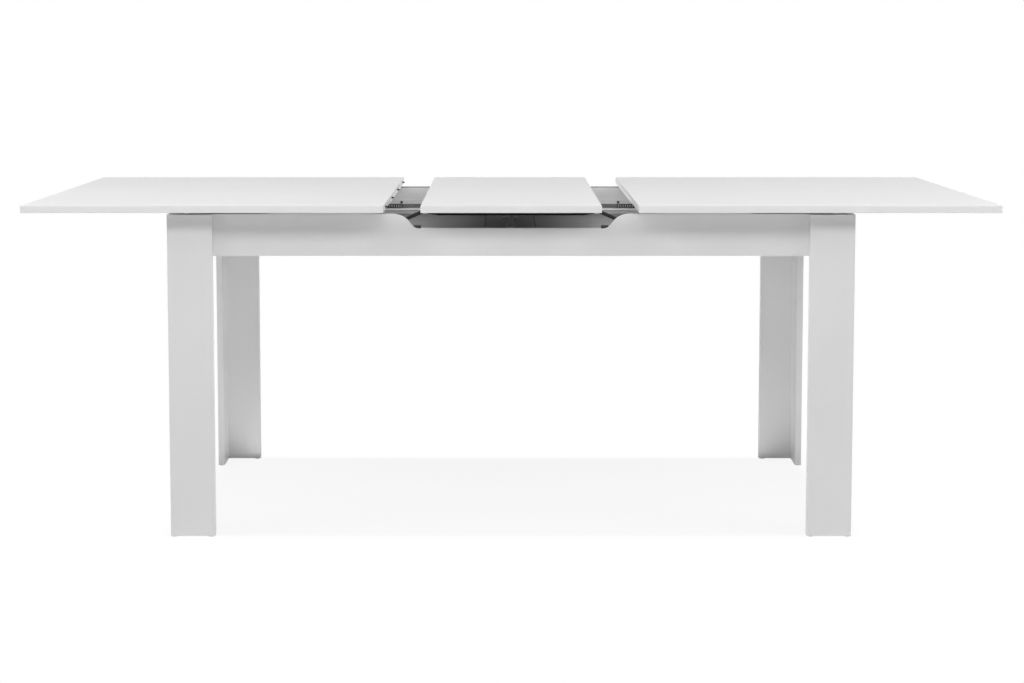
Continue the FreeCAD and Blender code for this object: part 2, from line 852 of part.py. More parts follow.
def lift_rods():
    """Rods under the leaf that slide in the guide tubes."""
    low_end = apron_under + d.rod_floor_gap + leaf_drop
    rods = []
    for side in (-1, 1):
        y = side * d.column_spread / 2
        rod = cylinder("Rod", d.column_bore - 2 * d.rod_clearance, top_under - low_end, (0, y, low_end))
        flange_foot = (0, y, top_under - d.column_flange_thickness)
        flange = cylinder("RodFlange", d.column_flange_diameter, d.column_flange_thickness, flange_foot)
        rods.append(fuse("LiftRod", [rod, flange]))
    group("lift_rods", rods)


def leaf_bumper(side_x):
    """Pad in one heel of the front scoop that guides the end of the lowered leaf."""
    level = d.scoop_clearance - d.bumper_gap
    run = d.bumper_length - level
    radius = d.scoop_heel_radius
    rise = radius - (radius * radius - run * run).root()
    section = [
        (0, 0),
        (level, 0),
        (d.bumper_length, rise, radius, True),
        (d.bumper_length, d.bumper_height),
        (0, d.bumper_height),
    ]
    body = doc.addObject("PartDesign::Body", "Bumper")
    pad(body, "XZ_Plane", section, d.apron_thickness)
    inner_x = leaf_end_x + d.bumper_gap
    if side_x > 0:
        place(body, inner_x, -apron_inner_y, scoop_floor)
    else:
        place(body, -inner_x, -apron_outer_y, scoop_floor, turned(180))
    return body


top_half("left_top", 0)
top_half("right_top", 180)
leaf_panel()
left_top_pins()
front_carrier_strap()
rear_carrier_strap()
strap_screws()
cross_rail()
tray_panel("left_tray_panel", -1)
tray_panel("right_tray_panel", 1)
group("cross_rail_brackets", [
    cross_rail_bracket("Bracket", side_x, side_y) for side_x in (-1, 1) for side_y in (-1, 1)
])
lift_columns()
lift_rods()
group("leaf_bumpers", [leaf_bumper(side_x) for side_x in (-1, 1)])

# Check and write the pieces

doc.recompute()
for item in doc.Objects:
    if "Invalid" in item.State or "Error" in item.State:
        raise RuntimeError(f"{item.Name} ({item.Label}) failed: {item.State}")
for label, piece in parts.items():
    if piece.Shape.isNull() or not piece.Shape.isValid():
        raise RuntimeError(f"{label} has no valid shape")

os.makedirs("parts", exist_ok=True)
for label, piece in parts.items():
    piece.Shape.exportStep(f"parts/{label}.step")
    limits = piece.Shape.BoundBox
    print(f"{label}: {len(piece.Shape.Solids)} solids, {piece.Shape.Volume:.0f} mm3, "
          f"x {limits.XMin:.1f} {limits.XMax:.1f} y {limits.YMin:.1f} {limits.YMax:.1f} "
          f"z {limits.ZMin:.1f} {limits.ZMax:.1f}")
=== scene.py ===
"""Looks of the extending table: white melamine boards, slide hardware in steel, plain studio."""
import bmesh
import bpy
import json
import math
from mathutils import Matrix, Vector

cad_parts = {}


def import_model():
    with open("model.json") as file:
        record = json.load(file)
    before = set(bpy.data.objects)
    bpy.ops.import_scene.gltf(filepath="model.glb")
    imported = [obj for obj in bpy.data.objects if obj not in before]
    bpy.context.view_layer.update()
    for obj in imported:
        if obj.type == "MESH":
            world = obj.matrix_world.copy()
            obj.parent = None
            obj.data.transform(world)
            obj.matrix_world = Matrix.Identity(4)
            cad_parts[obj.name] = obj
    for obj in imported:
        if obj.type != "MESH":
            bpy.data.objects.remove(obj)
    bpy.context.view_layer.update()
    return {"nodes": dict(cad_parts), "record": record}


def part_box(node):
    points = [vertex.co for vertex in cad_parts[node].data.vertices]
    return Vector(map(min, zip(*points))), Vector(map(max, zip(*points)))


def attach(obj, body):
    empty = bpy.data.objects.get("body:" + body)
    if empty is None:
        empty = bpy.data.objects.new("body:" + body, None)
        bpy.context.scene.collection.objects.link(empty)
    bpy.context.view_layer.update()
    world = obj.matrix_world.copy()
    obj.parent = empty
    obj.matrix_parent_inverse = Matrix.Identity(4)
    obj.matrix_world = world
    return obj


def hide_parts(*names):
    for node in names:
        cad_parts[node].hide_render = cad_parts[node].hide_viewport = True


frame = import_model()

SIDES = (("left", -1), ("right", 1))
ENDS = (("front", -1), ("rear", 1))


# Shader building blocks

def new_material(name):
    """Material with a Principled shader, its tree and that shader."""
    material = bpy.data.materials.new(name)
    material.use_nodes = True
    tree = material.node_tree
    return material, tree, tree.nodes["Principled BSDF"]


def add(tree, kind, **inputs):
    """New node, with values for its named inputs."""
    node = tree.nodes.new(kind)
    for name, value in inputs.items():
        node.inputs[name.replace("_", " ")].default_value = value
    return node


def computed(tree, operation, *values):
    """Output of a math node; each value is a number or the output of another node."""
    node = tree.nodes.new("ShaderNodeMath")
    node.operation = operation
    for socket, value in zip(node.inputs, values):
        if isinstance(value, float):
            socket.default_value = value
        else:
            tree.links.new(value, socket)
    return node.outputs[0]


def object_place(tree):
    """Coordinates in metres, fixed to the piece."""
    return tree.nodes.new("ShaderNodeTexCoord").outputs["Object"]


def noise(tree, scale, detail=3.0, stretch=None):
    """Cloudy pattern; a stretch below 1 draws it out along that axis."""
    node = add(tree, "ShaderNodeTexNoise", Scale=scale, Detail=detail)
    place = object_place(tree)
    if stretch:
        mapping = add(tree, "ShaderNodeMapping", Scale=stretch)
        tree.links.new(place, mapping.inputs["Vector"])
        place = mapping.outputs["Vector"]
    tree.links.new(place, node.inputs["Vector"])
    return node.outputs["Fac"]


def ramp(tree, factor, low, high, start=0.3, end=0.7):
    """Colour ramp between two colours, or greys when they are numbers."""
    node = tree.nodes.new("ShaderNodeValToRGB")
    for element, position, value in zip(node.color_ramp.elements, (start, end), (low, high)):
        element.position = position
        element.color = (value, value, value, 1) if isinstance(value, float) else (*value, 1)
    tree.links.new(factor, node.inputs["Fac"])
    return node.outputs["Color"]


def mixed(tree, factor, first, second):
    """Colour that goes from first to second with the factor."""
    node = tree.nodes.new("ShaderNodeMix")
    node.data_type = "RGBA"
    tree.links.new(factor, node.inputs["Factor"])
    tree.links.new(first, node.inputs["A"])
    tree.links.new(second, node.inputs["B"])
    return node.outputs["Result"]


def coat(tree, shader, colour, roughness):
    """Link a shader's colour and roughness."""
    tree.links.new(colour, shader.inputs["Base Color"])
    tree.links.new(roughness, shader.inputs["Roughness"])


def bump(tree, shader, height, strength, distance):
    """Fine relief after a height pattern."""
    node = add(tree, "ShaderNodeBump", Strength=strength, Distance=distance)
    tree.links.new(height, node.inputs["Height"])
    tree.links.new(node.outputs["Normal"], shader.inputs["Normal"])


# Materials

def upright(tree):
    """1 on the upright edges of a level board and 0 on its faces, with a quick change on the chamfer."""
    sides = tree.nodes.new("ShaderNodeSeparateXYZ")
    normal = tree.nodes.new("ShaderNodeNewGeometry").outputs["Normal"]
    tree.links.new(normal, sides.inputs[0])
    level = computed(tree, "ABSOLUTE", sides.outputs["Z"])
    return ramp(tree, level, low=1.0, high=0.0, start=0.6, end=0.8)


def white_board(name, edge_lit=False):
    """Melamine-faced board: even white, a fine pearl texture and a satin sheen that varies a little.

    Its upright edges can be painted slightly whiter than its faces: painted light that makes the edging read
    brighter, as if more light fell on the edges.
    """
    material, tree, shader = new_material(name)
    tint = ramp(tree, noise(tree, scale=3.0), low=(0.83, 0.832, 0.835), high=(0.87, 0.87, 0.868))
    if edge_lit:
        # painted light: a whiter colour on the upright edges so that they read brighter
        band = ramp(tree, noise(tree, scale=20.0), low=0.89, high=0.91)
        tint = mixed(tree, upright(tree), tint, band)
    gloss = ramp(tree, noise(tree, scale=40.0, detail=4.0), low=0.30, high=0.40)
    coat(tree, shader, tint, gloss)
    bump(tree, shader, noise(tree, scale=900.0, detail=2.0), strength=0.08, distance=0.0002)
    return material


def grey_board():
    """Grey faced fibreboard, matt, with a faint mottle; its dark grey is partly the board's own tone and
    partly painted shade for the shaded inside of the frame under the leaf.
    """
    material, tree, shader = new_material("grey_board")
    shader.inputs["Specular IOR Level"].default_value = 0.1
    mottle = noise(tree, scale=60.0, detail=4.0)
    # painted shade in part: the grey is kept dark for the shaded inside under the leaf
    coat(tree, shader, ramp(tree, mottle, low=0.21, high=0.26), ramp(tree, mottle, low=0.55, high=0.7))
    bump(tree, shader, noise(tree, scale=500.0, detail=2.0), strength=0.1, distance=0.0002)
    return material


def raw_wood():
    """Bare beech with growth lines drawn out along the piece."""
    material, tree, shader = new_material("raw_wood")
    lines = noise(tree, scale=60.0, detail=5.0, stretch=(0.15, 1.0, 1.0))
    tint = ramp(tree, lines, low=(0.62, 0.43, 0.26), high=(0.78, 0.60, 0.41))
    coat(tree, shader, tint, ramp(tree, lines, low=0.5, high=0.7))
    bump(tree, shader, lines, strength=0.2, distance=0.0004)
    return material


def drawn_lines(tree):
    """Fine lines along a drawn or rolled sheet."""
    return noise(tree, scale=700.0, stretch=(0.02, 1.0, 1.0))


def zinc_steel(name, dark, light, roughness, metallic=1.0):
    """Zinc-plated sheet: drawn lines along the length and a patchy spangle; a dull one is less metallic."""
    material, tree, shader = new_material(name)
    shader.inputs["Metallic"].default_value = metallic
    spangle = noise(tree, scale=120.0, detail=2.0)
    drawn = drawn_lines(tree)
    coat(tree, shader, ramp(tree, spangle, dark, light), ramp(tree, drawn, *roughness))
    bump(tree, shader, drawn, strength=0.1, distance=0.0002)
    return material


# Heights between which the rails' web is painted dark, a painted shade for the raceway in shadow, and how
# softly that painted shade ends
RACEWAY = (0.6735, 0.6845)
RACEWAY_EDGE = 0.0006
# Where the raceway starts and ends in a range that reaches half its height further at both ends
RACEWAY_SHARES = (0.25, 0.75)


def raceway_band(tree):
    """1 in the raceway and 0 above and below it."""
    low, high = RACEWAY
    reach = high - low
    sides = tree.nodes.new("ShaderNodeSeparateXYZ")
    tree.links.new(object_place(tree), sides.inputs[0])
    height = add(tree, "ShaderNodeMapRange", From_Min=low - reach / 2, From_Max=high + reach / 2)
    tree.links.new(sides.outputs["Z"], height.inputs["Value"])
    band = tree.nodes.new("ShaderNodeValToRGB")
    stops = band.color_ramp.elements
    edge_share = RACEWAY_EDGE / reach / 2
    start_share, end_share = RACEWAY_SHARES
    stops[0].position = start_share - edge_share
    stops[1].position = start_share + edge_share
    stops.new(end_share - edge_share)
    stops.new(end_share + edge_share)
    for stop, value in zip(stops, (0.0, 1.0, 1.0, 0.0)):
        stop.color = (value, value, value, 1)
    tree.links.new(height.outputs["Result"], band.inputs["Fac"])
    return band.outputs["Color"]


def raceway_shaded_rail():
    """Dull zinc-plated rail with a dark band of painted shade along the web, behind the lip, where the
    raceway lies in shadow.
    """
    material, tree, shader = new_material("raceway_shaded_rail")
    shader.inputs["Metallic"].default_value = 0.4
    spangle = noise(tree, scale=120.0, detail=2.0)
    zinc = ramp(tree, spangle, low=(0.76, 0.77, 0.78), high=(0.86, 0.87, 0.87))
    shade_streaks = noise(tree, scale=90.0, detail=4.0, stretch=(0.2, 1.0, 1.0))
    # painted shade: dark streaked colour for the raceway in shadow
    raceway_shade = ramp(tree, shade_streaks, low=(0.15, 0.15, 0.155), high=0.25)
    drawn = drawn_lines(tree)
    coat(tree, shader, mixed(tree, raceway_band(tree), zinc, raceway_shade), ramp(tree, drawn, low=0.30, high=0.46))
    bump(tree, shader, drawn, strength=0.1, distance=0.0002)
    return material


def enamel(name, dark, light):
    """Stoved enamel on steel, a little dusty, with a fine orange-peel surface."""
    material, tree, shader = new_material(name)
    dust = noise(tree, scale=25.0, detail=5.0)
    coat(tree, shader, ramp(tree, dust, dark, light), ramp(tree, dust, low=0.36, high=0.52))
    bump(tree, shader, noise(tree, scale=500.0, detail=2.0), strength=0.12, distance=0.0002)
    return material


def matt(name, dark, light, grain_scale, roughness, relief, shine=0.5):
    """Dull plastic, rubber, felt or paint with an even grain."""
    material, tree, shader = new_material(name)
    shader.inputs["Specular IOR Level"].default_value = shine
    grain = noise(tree, grain_scale)
    coat(tree, shader, ramp(tree, grain, dark, light), ramp(tree, grain, *roughness))
    bump(tree, shader, grain, strength=relief, distance=0.0003)
    return material


# Materials of the record's slots
MATERIALS = {
    "white_board": white_board("white_board"),
    "grey_board": grey_board(),
    "raw_wood": raw_wood(),
    "zinc_steel": zinc_steel(
        "zinc_steel", dark=(0.56, 0.57, 0.59), light=(0.70, 0.71, 0.72), roughness=(0.28, 0.45),
    ),
    "dark_steel": enamel("dark_steel", dark=(0.030, 0.031, 0.033), light=(0.060, 0.060, 0.061)),
    "glide_plastic": matt(
        "glide_plastic", dark=(0.72, 0.72, 0.70), light=(0.80, 0.80, 0.78),
        grain_scale=400.0, roughness=(0.5, 0.65), relief=0.15,
    ),
    "bumper_rubber": matt(
        "bumper_rubber", dark=(0.035, 0.035, 0.036), light=0.065,
        grain_scale=600.0, roughness=(0.7, 0.88), relief=0.3,
    ),
}

# Variants for single pieces
EDGE_LIT_BOARD = white_board("edge_lit_board", edge_lit=True)
RACEWAY_SHADED_RAIL = raceway_shaded_rail()
BRIGHT_ZINC = zinc_steel(
    "bright_zinc", dark=(0.91, 0.92, 0.93), light=0.95, roughness=(0.4, 0.55), metallic=0.1,
)
DULL_ZINC = zinc_steel(
    "dull_zinc", dark=(0.62, 0.63, 0.64), light=0.70, roughness=(0.5, 0.65), metallic=0.1,
)
DULL_GREY = matt(
    "dull_grey", dark=0.38, light=0.44, grain_scale=500.0, roughness=(0.75, 0.9), relief=0.15,
)
DULL_BLACK = matt(
    "dull_black", dark=(0.028, 0.028, 0.029), light=0.045,
    grain_scale=500.0, roughness=(0.6, 0.8), relief=0.15, shine=0.2,
)
# painted shade: near-black for the strip that stands for the shadow under the leaf's front edge
SHADE_BLACK = matt(
    "shade_black", dark=0.008, light=0.018, grain_scale=1200.0, roughness=(0.9, 1.0), relief=0.4, shine=0.05,
)
GREY_FELT = matt(
    "grey_felt", dark=0.34, light=0.46, grain_scale=900.0, roughness=(0.85, 0.95), relief=0.5,
)
OWN_MATERIALS = {
    "left_top": EDGE_LIT_BOARD,
    "right_top": EDGE_LIT_BOARD,
    "leaf_panel": EDGE_LIT_BOARD,
    "front_rail": RACEWAY_SHADED_RAIL,
    "rear_rail": RACEWAY_SHADED_RAIL,
    "front_carrier_strap": DULL_BLACK,
    "lift_columns": DULL_GREY,
    "lift_rods": DULL_GREY,
}


def dress_nodes():
    """Give each CAD node its own material, or else the one of its slot."""
    for subpart in frame["record"]["subparts"]:
        name = subpart["node"]
        node = frame["nodes"][name]
        node.data.materials.clear()
        node.data.materials.append(OWN_MATERIALS.get(name) or MATERIALS[subpart["material_slot"]])


# Shapes of the added pieces

WELD = 1e-6
SMOOTH_BELOW = math.radians(40)


def solids(name):
    """Lowest and highest corner of each separate solid of a CAD node."""
    shape = bmesh.new()
    shape.from_mesh(frame["nodes"][name].data)
    bmesh.ops.remove_doubles(shape, verts=shape.verts, dist=WELD)
    waiting = dict.fromkeys(shape.verts)
    boxes = []
    while waiting:
        first, _ = waiting.popitem()
        reached = [first]
        for vert in reached:
            for edge in vert.link_edges:
                other = edge.other_vert(vert)
                if other in waiting:
                    del waiting[other]
                    reached.append(other)
        places = [vert.co for vert in reached]
        low = Vector([min(place[axis] for place in places) for axis in range(3)])
        high = Vector([max(place[axis] for place in places) for axis in range(3)])
        boxes.append((low, high))
    shape.free()
    return boxes


def piece(name, shape, body, material, replaced=()):
    """Object made from a finished bmesh; it rides on a body and may stand for a CAD node."""
    bmesh.ops.recalc_face_normals(shape, faces=shape.faces)
    mesh = bpy.data.meshes.new(name)
    shape.to_mesh(mesh)
    shape.free()
    mesh.shade_smooth()
    mesh.set_sharp_from_angle(angle=SMOOTH_BELOW)
    mesh.materials.append(material)
    thing = bpy.data.objects.new(name, mesh)
    bpy.context.scene.collection.objects.link(thing)
    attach(thing, body)
    if replaced:
        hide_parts(*replaced)


def turned(shape, profile, sides, place, pressed=None, depth=0.0):
    """Form turned about the place's own Z axis; the points that pressed picks lie deeper."""
    rings = []
    for ring, (radius, height) in enumerate(profile):
        count = sides if radius else 1
        points = []
        for step in range(count):
            angle = math.tau * step / sides
            level = height - depth if pressed and pressed(ring, step) else height
            points.append(place @ Vector((radius * math.cos(angle), radius * math.sin(angle), level)))
        rings.append([shape.verts.new(point) for point in points])
    for low, high in zip(rings, rings[1:]):
        for step in range(sides):
            following = (step + 1) % sides
            corners = [
                low[step % len(low)],
                low[following % len(low)],
                high[following % len(high)],
                high[step % len(high)],
            ]
            shape.faces.new(dict.fromkeys(corners))


def prism(shape, ends):
    """Closed form between two like outlines."""
    near, far = [[shape.verts.new(point) for point in outline] for outline in ends]
    shape.faces.new(near)
    shape.faces.new(far)
    for index in range(len(near)):
        shape.faces.new((near[index - 1], near[index], far[index], far[index - 1]))


def facing(seat, outward):
    """Place with its Z axis along outward."""
    return Matrix.Translation(seat) @ outward.to_track_quat("Z", "Y").to_matrix().to_4x4()


# Screws and pins

SCREW_SIDES = 24
# Steps from one arm of the recess to the next, and how many of them the arm takes
ARM_PITCH_STEPS = 6
ARM_STEPS = 3
# Radius and height of each ring, as shares of the head's
SCREW_PROFILE_SHARES = (
    (1.0, 0.0), (1.0, 0.3), (0.93, 0.62), (0.76, 0.88), (0.58, 0.98),
    (0.54, 1.0), (0.26, 1.0), (0.18, 1.0), (0.0, 1.0),
)
# Rings where the arms of the recess start and where it is sunk all round
RECESS_FIRST_RING = 5
RECESS_FLOOR_RING = 7
RECESS_DEPTH_SHARE = 0.65


def in_recess(ring, step):
    """Whether a point of a screw head lies in its cross recess."""
    in_arm = (step + 1) % ARM_PITCH_STEPS < ARM_STEPS
    return ring >= RECESS_FLOOR_RING or (in_arm and ring >= RECESS_FIRST_RING)


def screw_heads(node, body):
    """Pan heads with a cross recess in place of the plain heads of a CAD node; they look inward or down."""
    shape = bmesh.new()
    for low, high in solids(node):
        size = high - low
        middle = (low + high) / 2
        axis = min(range(3), key=lambda index: size[index])
        outward = Vector((0, 0, 0))
        outward[axis] = -1.0 if middle[axis] > 0 else 1.0
        height = size[axis]
        radius = max(size) / 2
        profile = [(radius * width, height * rise) for width, rise in SCREW_PROFILE_SHARES]
        seat = facing(middle - outward * height / 2, outward)
        turned(shape, profile, SCREW_SIDES, seat, in_recess, height * RECESS_DEPTH_SHARE)
    slot = next(item["material_slot"] for item in frame["record"]["subparts"] if item["node"] == node)
    piece(f"{node}_recessed", shape, body, MATERIALS[slot], replaced=[node])


PIN_SIDES = 20
# Radius as a share of the pin's, and distance from the tip as a share of that radius; the nose is slimmer
PIN_TIP_SHARES = ((1.0, 2.1), (0.72, 2.0), (0.68, 0.9), (0.6, 0.45), (0.38, 0.12), (0.0, 0.0))


def rounded_pins():
    """Alignment pins with a shoulder and a slim bullet nose in place of the plain ones."""
    shape = bmesh.new()
    for low, high in solids("left_top_pins"):
        radius = (high.y - low.y) / 2
        length = high.x - low.x
        seat = Vector((low.x, (low.y + high.y) / 2, (low.z + high.z) / 2))
        tip = [(radius * width, length - radius * back) for width, back in PIN_TIP_SHARES]
        turned(shape, [(0.0, 0.0), (radius, 0.0), *tip], PIN_SIDES, facing(seat, Vector((1, 0, 0))))
    material = MATERIALS["dark_steel"]
    piece("left_top_pins_rounded", shape, "left_half", material, replaced=["left_top_pins"])


# Slide rails

CAGE_INNER_X = 0.282
CAGE_OUTER_X = 0.364
CAGE_MIDDLE_Y = 0.3797
# Heights of the cage's lower edge, of its windows' lower and upper edges, and of its upper edge
CAGE_LEVELS = (0.6742, 0.6758, 0.6822, 0.6838)
CAGE_GAUGE = 0.0008
CAGE_BAR = 0.0024
CAGE_WINDOW = 0.0036
CAGE_WINDOW_COUNT = 12
ROLLER_SIDES = 12
ROLLER_RADIUS = 0.0011
# Radius as a share of the roller's, and height as a share of the window's; the ends are trunnions
ROLLER_PROFILE_SHARES = (
    (0.0, -0.06), (0.3, -0.06), (0.3, 0.04), (0.8, 0.04), (0.96, 0.12), (1.0, 0.5),
    (0.96, 0.88), (0.8, 0.96), (0.3, 0.96), (0.3, 1.06), (0.0, 1.06),
)


def cage_steps():
    """Distances from the table's middle where a cage's bars and windows take turns, a bar first."""
    steps = [CAGE_INNER_X]
    for _ in range(CAGE_WINDOW_COUNT):
        steps.append(steps[-1] + CAGE_BAR)
        steps.append(steps[-1] + CAGE_WINDOW)
    steps.append(CAGE_OUTER_X)
    return steps


def windowed_strip(steps, side_x, side_y):
    """Upright strip with a window at every second step."""
    strip = bmesh.new()
    plane_y = side_y * (CAGE_MIDDLE_Y + CAGE_GAUGE / 2)
    columns = [[strip.verts.new((side_x * x, plane_y, z)) for z in CAGE_LEVELS] for x in steps]
    for index, (near, far) in enumerate(zip(columns, columns[1:])):
        for level in range(len(CAGE_LEVELS) - 1):
            is_window = index % 2 == 1 and level == 1
            if not is_window:
                strip.faces.new((near[level], far[level], far[level + 1], near[level + 1]))
    bmesh.ops.recalc_face_normals(strip, faces=strip.faces)
    extruded = bmesh.ops.extrude_face_region(strip, geom=strip.faces[:])["geom"]
    moved = [item for item in extruded if isinstance(item, bmesh.types.BMVert)]
    bmesh.ops.translate(strip, verts=moved, vec=(0, -side_y * CAGE_GAUGE, 0))
    return strip


def upright_rollers(steps, side_x, side_y):
    """A roller in each window of a cage."""
    rollers = bmesh.new()
    low, high = CAGE_LEVELS[1:3]
    profile = [(ROLLER_RADIUS * width, (high - low) * rise) for width, rise in ROLLER_PROFILE_SHARES]
    for near, far in zip(steps[1::2], steps[2::2]):
        seat = Matrix.Translation((side_x * (near + far) / 2, side_y * CAGE_MIDDLE_Y, low))
        turned(rollers, profile, ROLLER_SIDES, seat)
    return rollers


def roller_cage(side, side_x, end, side_y):
    """Windowed strip with rollers that leads the carriage along the rail's raceway."""
    body = f"{side}_carriage"
    steps = cage_steps()
    strip = windowed_strip(steps, side_x, side_y)
    piece(f"{side}_{end}_roller_cage", strip, body, MATERIALS["dark_steel"])
    rollers = upright_rollers(steps, side_x, side_y)
    piece(f"{side}_{end}_rollers", rollers, body, MATERIALS["zinc_steel"])


def rail_faces():
    """For each rail its box, the depth of the face towards the middle and the way that face looks."""
    for end, side_y in ENDS:
        low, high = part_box(f"{end}_rail")
        yield low, high, (high.y if side_y < 0 else low.y), -side_y


LIP_RADIUS = 0.0024
LIP_RISE = 0.0026
LIP_STEPS = 8
LIP_END_GAP = 0.001


def rail_lips():
    """Bright rolled edge along the lip of each slide rail."""
    shape = bmesh.new()
    for low, high, face, inward in rail_faces():
        section = []
        for step in range(LIP_STEPS + 1):
            angle = math.pi * (step / LIP_STEPS - 0.5)
            depth = face + inward * LIP_RADIUS * math.cos(angle)
            section.append((depth, low.z + LIP_RISE + LIP_RADIUS * math.sin(angle)))
        ends = (low.x + LIP_END_GAP, high.x - LIP_END_GAP)
        prism(shape, [[(x, y, z) for y, z in section] for x in ends])
    piece("rail_lips", shape, "frame", BRIGHT_ZINC)


SKIRT_GAUGE = 0.0012
SKIRT_TRAY_GAP = 0.0003
SKIRT_INNER_X = 0.075
SKIRT_OUTER_X = 0.336


def rail_skirts():
    """Steel skirts that close the slot between each rail's lip and the tray panels."""
    shape = bmesh.new()
    for low, _, face, inward in rail_faces():
        back = face - inward * SKIRT_GAUGE
        for side, side_x in SIDES:
            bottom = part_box(f"{side}_tray_panel")[1].z + SKIRT_TRAY_GAP
            section = [(face, bottom), (face, low.z), (back, low.z), (back, bottom)]
            ends = (side_x * SKIRT_INNER_X, side_x * SKIRT_OUTER_X)
            prism(shape, [[(x, y, z) for y, z in section] for x in ends])
    piece("rail_skirts", shape, "frame", DULL_ZINC)


# Trim

EDGING_HEIGHT = 0.0024
EDGING_INSET = 0.001
EDGING_ROUND = 0.0008
EDGING_END_GAP = 0.001
NOTCH_HALF = 0.205


def rear_edging():
    """Felt strip along the top edge of the rear apron, on each side of the notch."""
    low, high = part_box("rear_apron")
    front, back = low.y + EDGING_INSET, high.y - EDGING_INSET
    base, crown = high.z, high.z + EDGING_HEIGHT
    section = [
        (front, base),
        (back, base),
        (back, crown - EDGING_ROUND),
        (back - EDGING_ROUND, crown),
        (front + EDGING_ROUND, crown),
        (front, crown - EDGING_ROUND),
    ]
    shape = bmesh.new()
    for _, side_x in SIDES:
        ends = (side_x * (NOTCH_HALF + EDGING_END_GAP), side_x * (high.x - EDGING_END_GAP))
        prism(shape, [[(x, y, z) for y, z in section] for x in ends])
    piece("rear_apron_edging", shape, "frame", GREY_FELT)


FLANGE_HALF = 0.188
FLANGE_TAPER = 0.024
FLANGE_GAUGE = 0.002
FLANGE_DEPTH = 0.0062
FLANGE_END_DEPTH = 0.0025
FLANGE_SEAT = 0.0002
STRAP_GAUGE = 0.007


def strap_shade_flange():
    """Near-black flange folded down along the front edge of the leaf's front strap, put there as painted
    shade for the shadow under the leaf's front edge.
    """
    low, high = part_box("front_carrier_strap")
    under = high.z - STRAP_GAUGE
    outline = [
        (-FLANGE_HALF, under + FLANGE_SEAT),
        (-FLANGE_HALF, under - FLANGE_END_DEPTH),
        (-FLANGE_HALF + FLANGE_TAPER, under - FLANGE_DEPTH),
        (FLANGE_HALF - FLANGE_TAPER, under - FLANGE_DEPTH),
        (FLANGE_HALF, under - FLANGE_END_DEPTH),
        (FLANGE_HALF, under + FLANGE_SEAT),
    ]
    shape = bmesh.new()
    prism(shape, [[(x, y, z) for x, z in outline] for y in (low.y, low.y + FLANGE_GAUGE)])
    piece("front_strap_shade_flange", shape, "leaf", SHADE_BLACK)


SEAM_RADIUS = 0.003
SEAM_STEPS = 4
SEAM_END_GAP = 0.025


def tray_seams():
    """Dark sealing bead in the corner between the cross rail and each tray panel."""
    shape = bmesh.new()
    for side, side_x in SIDES:
        low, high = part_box(f"{side}_tray_panel")
        corner = low.x if side_x > 0 else high.x
        section = [(corner, high.z)]
        for step in range(SEAM_STEPS + 1):
            angle = math.pi / 2 * step / SEAM_STEPS
            reach = side_x * SEAM_RADIUS * math.cos(angle)
            section.append((corner + reach, high.z + SEAM_RADIUS * math.sin(angle)))
        ends = (low.y + SEAM_END_GAP, high.y - SEAM_END_GAP)
        prism(shape, [[(x, y, z) for x, z in section] for y in ends])
    piece("tray_seams", shape, "frame", MATERIALS["bumper_rubber"])


# Studio

def white_to_camera(tree, shaded, strength):
    """Mix white light into a shader for camera, glossy and transmission rays only."""
    rays = tree.nodes.new("ShaderNodeLightPath").outputs
    seen = computed(tree, "MAXIMUM", rays["Is Camera Ray"], rays["Is Glossy Ray"])
    seen = computed(tree, "MAXIMUM", seen, rays["Is Transmission Ray"])
    glow = add(tree, "ShaderNodeEmission", Strength=1.0)
    mix = tree.nodes.new("ShaderNodeMixShader")
    tree.links.new(computed(tree, "MULTIPLY", seen, strength), mix.inputs["Fac"])
    tree.links.new(shaded, mix.inputs[1])
    tree.links.new(glow.outputs[0], mix.inputs[2])
    return mix.outputs[0]


FLOOR_SIZE = 400.0
FLOOR_GREY = 0.70
FLOOR_ROUGHNESS = 0.9
FLOOR_SHINE = 0.1
FLOOR_WHITE_SHARE = 0.88
# Half sizes of the patch between the legs that keeps its shadow, and where its edge fades, as shares of them
FOOTPRINT = (0.75, 0.40, 1.0)
FOOTPRINT_FADE_SHARES = (0.97, 1.08)


def footprint_fade(tree):
    """White share of the floor: lower in the footprint of the legs, full outside it."""
    outward = tree.nodes.new("ShaderNodeVectorMath")
    outward.operation = "ABSOLUTE"
    tree.links.new(object_place(tree), outward.inputs[0])
    scaled = tree.nodes.new("ShaderNodeVectorMath")
    scaled.operation = "DIVIDE"
    tree.links.new(outward.outputs[0], scaled.inputs[0])
    scaled.inputs[1].default_value = FOOTPRINT
    sides = tree.nodes.new("ShaderNodeSeparateXYZ")
    tree.links.new(scaled.outputs[0], sides.inputs[0])
    farthest = computed(tree, "MAXIMUM", sides.outputs["X"], sides.outputs["Y"])
    start, end = FOOTPRINT_FADE_SHARES
    fade = add(tree, "ShaderNodeMapRange", From_Min=start, From_Max=end, To_Min=FLOOR_WHITE_SHARE)
    fade.interpolation_type = "SMOOTHSTEP"
    tree.links.new(farthest, fade.inputs["Value"])
    return fade.outputs["Result"]


def floor():
    """Wide matt floor, white to the camera, with a soft shadow between the legs."""
    mesh = bpy.data.meshes.new("floor")
    half = FLOOR_SIZE / 2
    corners = [(-half, -half, 0), (half, -half, 0), (half, half, 0), (-half, half, 0)]
    mesh.from_pydata(corners, [], [(0, 1, 2, 3)])
    plane = bpy.data.objects.new("floor", mesh)
    bpy.context.scene.collection.objects.link(plane)
    material, tree, shader = new_material("floor")
    shader.inputs["Base Color"].default_value = (FLOOR_GREY, FLOOR_GREY, FLOOR_GREY, 1)
    shader.inputs["Roughness"].default_value = FLOOR_ROUGHNESS
    shader.inputs["Specular IOR Level"].default_value = FLOOR_SHINE
    seen = white_to_camera(tree, shader.outputs[0], footprint_fade(tree))
    tree.links.new(seen, tree.nodes["Material Output"].inputs["Surface"])
    mesh.materials.append(material)


WORLD_LIGHT = 0.08


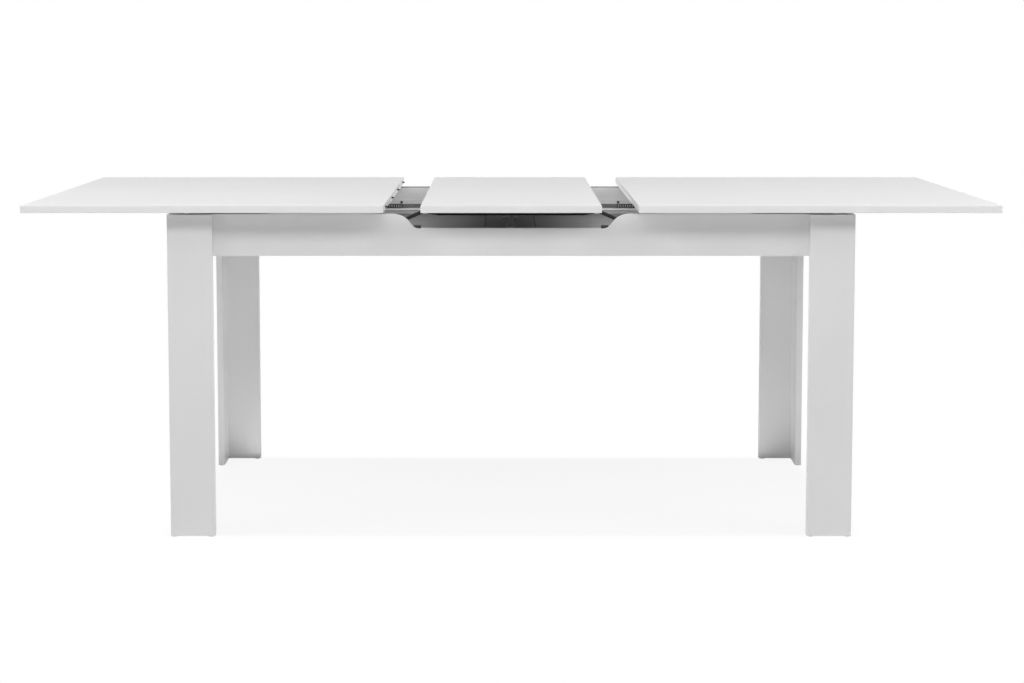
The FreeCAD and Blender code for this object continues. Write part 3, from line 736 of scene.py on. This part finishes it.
def world():
    """Background that looks white and lights the part only faintly."""
    scene_world = bpy.data.worlds.new("studio")
    bpy.context.scene.world = scene_world
    scene_world.use_nodes = True
    tree = scene_world.node_tree
    background = tree.nodes["Background"]
    background.inputs["Color"].default_value = (1, 1, 1, 1)
    background.inputs["Strength"].default_value = WORLD_LIGHT
    seen = white_to_camera(tree, background.outputs[0], 1.0)
    tree.links.new(seen, tree.nodes["World Output"].inputs["Surface"])


def softbox(name, place, target, size, power, mirrored=True):
    """Rectangular lamp that the camera doesn't see; one that isn't mirrored shows in no reflection either."""
    data = bpy.data.lights.new(name, "AREA")
    data.shape = "RECTANGLE"
    data.size, data.size_y = size
    data.energy = power
    lamp = bpy.data.objects.new(name, data)
    lamp.location = place
    aim = Vector(target) - Vector(place)
    lamp.rotation_euler = aim.to_track_quat("-Z", "Y").to_euler()
    lamp.visible_camera = False
    lamp.visible_glossy = mirrored
    bpy.context.scene.collection.objects.link(lamp)


# Place across the table and power of the lamp over each gap beside the leaf
GAP_LAMPS = ((-0.241, 0.09), (0.241, 0.125))


def lights():
    """Broad lamps all round, and small ones for the gaps beside the leaf and for the rear legs."""
    softbox("key", place=(0.0, -2.3, 2.8), target=(0.0, -0.3, 0.7), size=(5.0, 0.7), power=45)
    softbox("overhead", place=(0.0, -1.3, 2.8), target=(0.0, -0.3, 0.7), size=(5.0, 1.2), power=2)
    softbox("front_fill", place=(0.0, -5.2, 1.1), target=(0.0, 0.0, 0.6), size=(3.0, 0.8), power=13.5)
    softbox(
        "back_fill", place=(0.0, 4.5, 1.4), target=(0.0, 0.3, 0.5), size=(5.0, 1.5), power=44, mirrored=False,
    )
    softbox(
        "floor_bounce", place=(-0.012, 0.165, 0.006), target=(-0.012, 0.165, 1.0),
        size=(1.37, 0.43), power=2.15, mirrored=False,
    )
    for x, power in GAP_LAMPS:
        softbox("gap_fill", place=(x, 0.07, 0.745), target=(x, 0.07, 0.6), size=(0.06, 0.5), power=power)
    for _, side_x in SIDES:
        softbox(
            "side_fill", place=(side_x * 5.0, -2.0, 1.2), target=(0.0, 0.0, 0.5),
            size=(2.0, 2.0), power=24, mirrored=False,
        )
        softbox(
            "side_key", place=(side_x * 3.0, -1.0, 2.6), target=(0.0, 0.0, 0.7),
            size=(1.5, 1.5), power=49, mirrored=False,
        )


CAMERA_PLACE = (-0.018, -4.687, 1.111)
CAMERA_PITCH = math.radians(4.641)
CAMERA_LENS = 67.92
CAMERA_SENSOR = 36.0
CAMERA_SHIFT = (0.0088, -0.14)


def camera():
    """Camera fitted to the photograph."""
    data = bpy.data.cameras.new("camera")
    data.lens = CAMERA_LENS
    data.sensor_width = CAMERA_SENSOR
    data.shift_x, data.shift_y = CAMERA_SHIFT
    eye = bpy.data.objects.new("camera", data)
    eye.location = CAMERA_PLACE
    eye.rotation_euler = (math.pi / 2 - CAMERA_PITCH, 0, 0)
    bpy.context.scene.collection.objects.link(eye)
    bpy.context.scene.camera = eye


dress_nodes()
screw_heads("rail_screws", "frame")
screw_heads("strap_screws", "leaf")
strap_shade_flange()
tray_seams()
rail_lips()
rail_skirts()
for side, side_x in SIDES:
    screw_heads(f"{side}_hanger_screws", f"{side}_half")
    for end, side_y in ENDS:
        roller_cage(side, side_x, end, side_y)
rounded_pins()
rear_edging()

floor()
world()
lights()
camera()
bpy.context.scene.view_settings.view_transform = "Standard"
